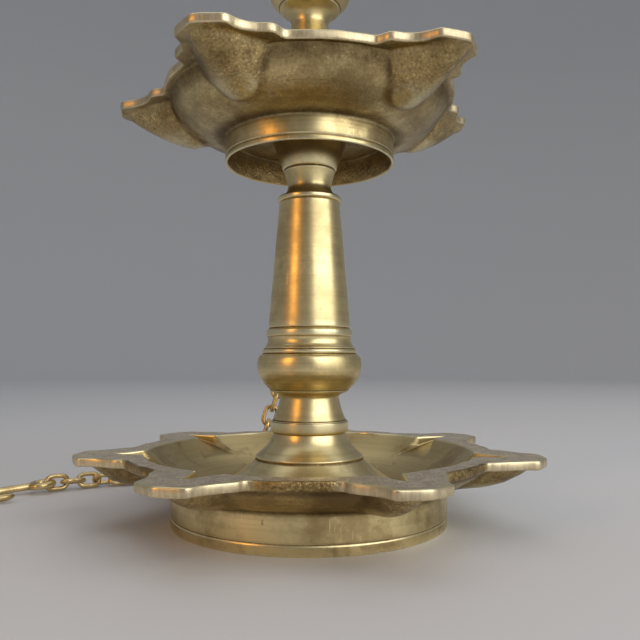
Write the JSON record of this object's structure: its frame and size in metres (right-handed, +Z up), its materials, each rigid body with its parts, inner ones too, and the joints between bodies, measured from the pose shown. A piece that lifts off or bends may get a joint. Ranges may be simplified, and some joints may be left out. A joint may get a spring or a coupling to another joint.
{
  "type": "two tier chain oil lamp",
  "caption": "Brass oil lamp with two spouted bowls on a turned stem, an eye and ring at the top and a hanging chain that ends in a hook.",
  "frame": {"origin": "centre of the lower foot ring's bottom, on the table", "axes": "+Z up along the stem, -Y towards the viewer, +X to the viewer's right"},
  "size_m": [0.2189, 0.1622, 0.2602],
  "materials": {
    "cast_brass": "as cast, dull and grainy with worn rims",
    "turned_brass": "turned and polished, with fine scratches and patina",
    "nut_brass": "dull",
    "chain_brass": "drawn wire, slightly tarnished"
  },
  "bodies": {
    "lamp": {"base_bowl": "cast_brass", "stem_foot": "turned_brass", "base_nut": "nut_brass", "column": "turned_brass", "neck_spool": "turned_brass", "upper_bowl": "cast_brass", "upper_stem_foot": "turned_brass", "upper_stem": "turned_brass", "finial": "turned_brass"},
    "ring": {"top_ring": "chain_brass"},
    "slope_1": {"chain_slope_1": "chain_brass"},
    "slope_2": {"chain_slope_2": "chain_brass"},
    "slope_3": {"chain_slope_3": "chain_brass"},
    "drop_1": {"chain_drop_1": "chain_brass"},
    "drop_2": {"chain_drop_2": "chain_brass"},
    "drop_3": {"chain_drop_3": "chain_brass"},
    "lean_1": {"chain_lean_1": "chain_brass"},
    "lean_2": {"chain_lean_2": "chain_brass"},
    "lean_3": {"chain_lean_3": "chain_brass"},
    "lean_4": {"chain_lean_4": "chain_brass"},
    "table_1": {"chain_table_1": "chain_brass"},
    "table_2": {"chain_table_2": "chain_brass"},
    "table_3": {"chain_table_3": "chain_brass"},
    "hook": {"hanging_hook": "chain_brass"}
  },
  "joints": [
    {"name": "ring_lift", "type": "hinge", "parent": "lamp", "child": "ring", "pos_m": [0, 0, 0.254], "axis": [0.9962, 0.0872, 0], "range_deg": [0, 105]},
    {"name": "slope_1_bend", "type": "hinge", "parent": "ring", "child": "slope_1", "pos_m": [-0.00113, 0.01292, 0.23878], "axis": [0.9962, 0.0872, 0], "range_deg": [0, 35]},
    {"name": "slope_2_bend", "type": "hinge", "parent": "slope_1", "child": "slope_2", "pos_m": [-0.00268, 0.03069, 0.21784], "axis": [0.9962, 0.0872, 0], "range_deg": [0, 35]},
    {"name": "slope_3_bend", "type": "hinge", "parent": "slope_2", "child": "slope_3", "pos_m": [-0.00427, 0.04878, 0.19653], "axis": [0.9962, 0.0872, 0], "range_deg": [0, 35]},
    {"name": "drop_1_bend", "type": "hinge", "parent": "slope_3", "child": "drop_1", "pos_m": [-0.00664, 0.07591, 0.16456], "axis": [0.9962, 0.0872, 0], "range_deg": [0, 35]},
    {"name": "drop_2_bend", "type": "hinge", "parent": "drop_1", "child": "drop_2", "pos_m": [-0.00664, 0.07591, 0.12956], "axis": [-0.0872, 0.9962, 0], "range_deg": [0, 30]},
    {"name": "drop_3_bend", "type": "hinge", "parent": "drop_2", "child": "drop_3", "pos_m": [-0.00664, 0.07591, 0.10156], "axis": [-0.0872, 0.9962, 0], "range_deg": [0, 30]},
    {"name": "lean_1_bend", "type": "hinge", "parent": "drop_3", "child": "lean_1", "pos_m": [-0.00664, 0.07591, 0.07356], "axis": [-0.0872, 0.9962, 0], "range_deg": [0, 30]},
    {"name": "lean_2_bend", "type": "hinge", "parent": "lean_1", "child": "lean_2", "pos_m": [-0.0151, 0.07517, 0.04688], "axis": [-0.0872, 0.9962, 0], "range_deg": [0, 30]},
    {"name": "lean_3_bend", "type": "hinge", "parent": "lean_2", "child": "lean_3", "pos_m": [-0.02357, 0.07443, 0.0202], "axis": [-0.0872, 0.9962, 0], "range_deg": [0, 30]},
    {"name": "lean_4_bend", "type": "hinge", "parent": "lean_3", "child": "lean_4", "pos_m": [-0.03272, 0.07363, 0.00963], "axis": [-0.0872, 0.9962, 0], "range_deg": [0, 30]},
    {"name": "table_1_bend", "type": "hinge", "parent": "lean_4", "child": "table_1", "pos_m": [-0.04551, 0.07251, 0.00405], "axis": [-0.0872, 0.9962, 0], "range_deg": [0, 30]},
    {"name": "table_2_bend", "type": "hinge", "parent": "table_1", "child": "table_2", "pos_m": [-0.07226, 0.07017, 0.00302], "axis": [0, 0, 1], "range_deg": [-35, 10]},
    {"name": "table_3_bend", "type": "hinge", "parent": "table_2", "child": "table_3", "pos_m": [-0.09822, 0.05968, 0.00363], "axis": [0, 0, 1], "range_deg": [-35, 10]},
    {"name": "hook_swing", "type": "hinge", "parent": "table_3", "child": "hook", "pos_m": [-0.11611, 0.04668, 0.00412], "axis": [0, 0, 1], "range_deg": [-35, 35]}
  ]
}
